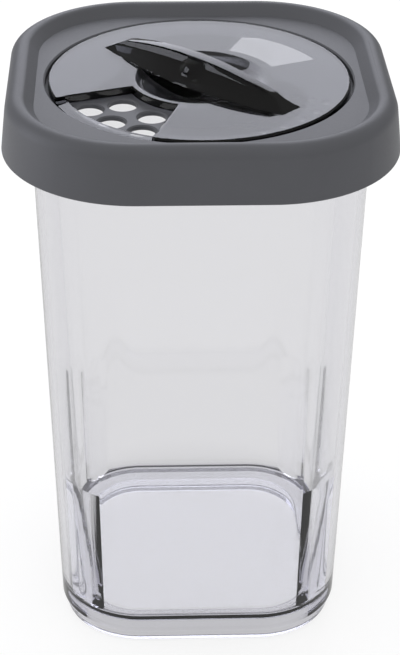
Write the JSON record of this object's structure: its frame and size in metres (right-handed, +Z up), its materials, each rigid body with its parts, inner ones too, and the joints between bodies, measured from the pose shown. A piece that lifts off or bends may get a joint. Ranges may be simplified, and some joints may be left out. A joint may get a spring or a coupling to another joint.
{
  "type": "spice shaker",
  "caption": "Clear tapered rounded-square jar with a grey push-on sifter lid and a smoke-tinted turning dial that opens coarse holes, fine holes or a pour opening.",
  "frame": {"origin": "centre of the foot ring, on the surface that the shaker stands on", "axes": "+Z up along the dial's axis, -Y towards the front of the pictured view, +X to its right"},
  "size_m": [0.078, 0.078, 0.1243],
  "materials": {
    "clear_plastic": "polished clear moulding with a slight violet-grey tint",
    "grey_plastic": "matt moulded mid-grey",
    "silicone": "soft translucent pale grey",
    "smoke_plastic": "polished smoke-tinted clear moulding"
  },
  "bodies": {
    "jar": {"jar": "clear_plastic"},
    "lid": {"lid": "grey_plastic", "seal_ring": "silicone"},
    "dial": {"dial": "smoke_plastic"}
  },
  "joints": [
    {"name": "lid_lift", "type": "slide", "parent": "jar", "child": "lid", "axis": [0, 0, 1], "range_m": [0, 0.03]},
    {"name": "dial_turn", "type": "hinge", "parent": "lid", "child": "dial", "pos_m": [0, 0, 0.118], "axis": [0, 0, 1], "continuous": true}
  ]
}
